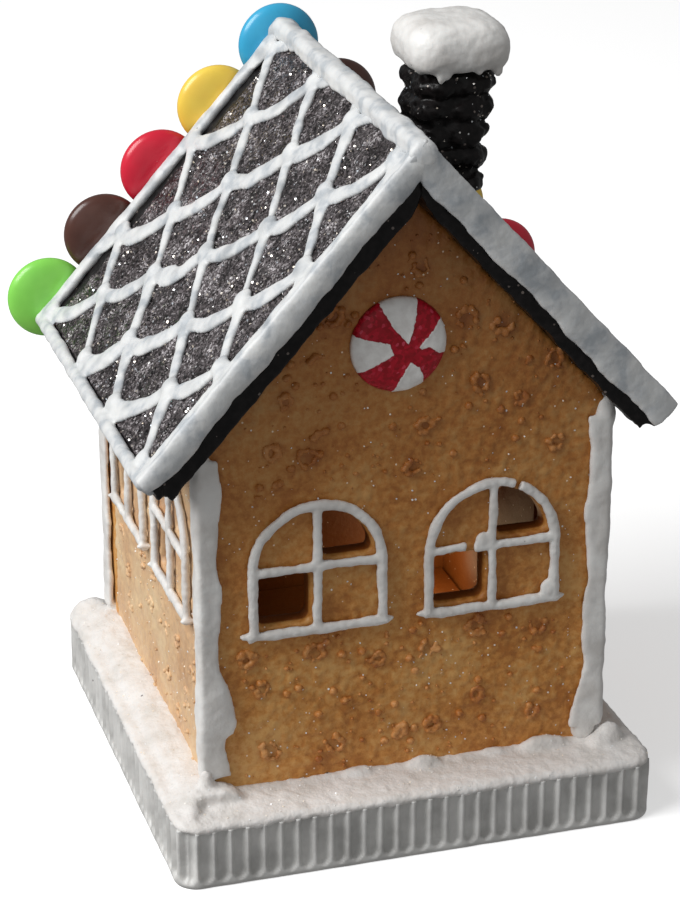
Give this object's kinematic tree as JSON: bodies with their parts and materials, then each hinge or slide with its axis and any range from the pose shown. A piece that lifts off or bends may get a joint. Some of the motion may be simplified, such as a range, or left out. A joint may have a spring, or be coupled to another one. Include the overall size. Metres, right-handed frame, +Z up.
{
  "type": "gingerbread house ornament",
  "caption": "Resin gingerbread house with arched windows, iced dark roof, chimney, round sweets along the back gable and a fluted snowy plinth",
  "frame": {"origin": "middle of the plinth's underside", "axes": "+Z up, -Y out of the front gable with its two windows, +X to the right seen from the front"},
  "size_m": [0.0908, 0.0792, 0.1188],
  "materials": {
    "plinth": "cast resin painted white, with shadows of grey in the flutes",
    "icing": "white royal-icing paint with fine glitter, satin",
    "gingerbread": "cast resin painted tan, mottled, with fine glitter",
    "black_resin": "black paint under coarse dark glitter",
    "sweet_blue": "glossy shell",
    "sweet_yellow": "glossy shell",
    "sweet_red": "glossy shell",
    "sweet_brown": "glossy shell",
    "sweet_green": "glossy shell",
    "peppermint": "white resin disc with hand-painted red wedges"
  },
  "bodies": {
    "root": {"plinth": "plinth", "front_wall": "gingerbread", "back_wall": "gingerbread", "left_wall": "gingerbread", "right_wall": "gingerbread", "base_icing": "icing", "front_window_icing_1": "icing", "front_window_icing_2": "icing", "back_window_icing_1": "icing", "back_window_icing_2": "icing", "left_window_icing_1": "icing", "left_window_icing_2": "icing", "right_window_icing_1": "icing", "right_window_icing_2": "icing", "corner_icing_front_left": "icing", "corner_icing_front_right": "icing", "corner_icing_back_left": "icing", "corner_icing_back_right": "icing", "roof_icing_left": "icing", "roof_icing_right": "icing", "rake_icing_left": "icing", "rake_icing_right": "icing", "eave_icing_left": "icing", "eave_icing_right": "icing", "ridge_icing": "icing", "chimney_cap_icing": "icing", "roof_board_left": "black_resin", "roof_board_right": "black_resin", "chimney": "black_resin", "sweet_apex_blue": "sweet_blue", "sweet_left_yellow": "sweet_yellow", "sweet_left_red": "sweet_red", "sweet_left_brown": "sweet_brown", "sweet_left_green": "sweet_green", "sweet_right_brown": "sweet_brown", "sweet_right_green": "sweet_green", "sweet_right_yellow": "sweet_yellow", "sweet_right_red": "sweet_red", "peppermint_front": "peppermint", "peppermint_back": "peppermint"}
  },
  "joints": []
}
